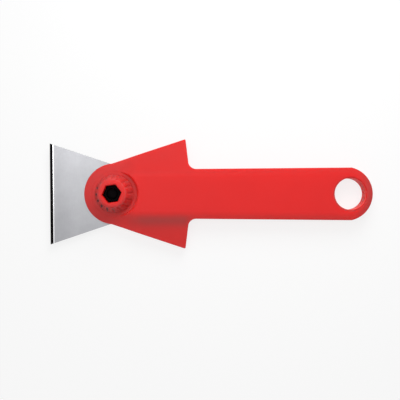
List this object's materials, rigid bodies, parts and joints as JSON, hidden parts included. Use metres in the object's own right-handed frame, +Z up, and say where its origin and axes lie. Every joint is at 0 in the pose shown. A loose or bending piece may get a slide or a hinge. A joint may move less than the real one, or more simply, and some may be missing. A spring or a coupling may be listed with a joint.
{
  "type": "scraper knife",
  "caption": "Hand scraper: a steel blade clamped by a fluted knob, swinging between the moulded halves of an arrow-headed handle with a hang hole.",
  "frame": {"origin": "on the surface that the knife lies on, under the middle of its length, with the blade out to scrape", "axes": "+X from the cutting edge to the hang hole, +Z up through the knob, +Y across the handle"},
  "size_m": [0.1588, 0.0538, 0.0175],
  "materials": {
    "red_plastic": "injection-moulded, satin, finely textured",
    "blade_steel": "brushed across the blade, ground bevel along the edge",
    "black_steel": "black oxide",
    "plated_steel": "bright zinc plate"
  },
  "bodies": {
    "handle": {"front_shell": "red_plastic", "back_shell": "red_plastic", "clamp_bolt": "black_steel", "pivot_bush": "plated_steel", "grip_screw_front": "plated_steel", "grip_screw_rear": "plated_steel"},
    "swing_blade": {"blade": "blade_steel"},
    "washer": {"thrust_washer": "plated_steel"},
    "knob": {"clamp_knob": "red_plastic", "knob_nut": "black_steel"}
  },
  "joints": [
    {"name": "blade_swing", "type": "hinge", "parent": "handle", "child": "swing_blade", "pos_m": [-0.04705, 0, 0.004], "axis": [0, 0, 1], "continuous": true},
    {"name": "washer_lift", "type": "slide", "parent": "handle", "child": "washer", "axis": [0, 0, 1], "range_m": [0, 0.0012]},
    {"name": "knob_turn", "type": "hinge", "parent": "washer", "child": "knob", "pos_m": [-0.04705, 0, 0.013], "axis": [0, 0, 1], "range_deg": [0, 540]}
  ],
  "couplings": [
    {"joint": "knob_turn", "follows": "washer_lift", "rad_per_m": 7854}
  ]
}
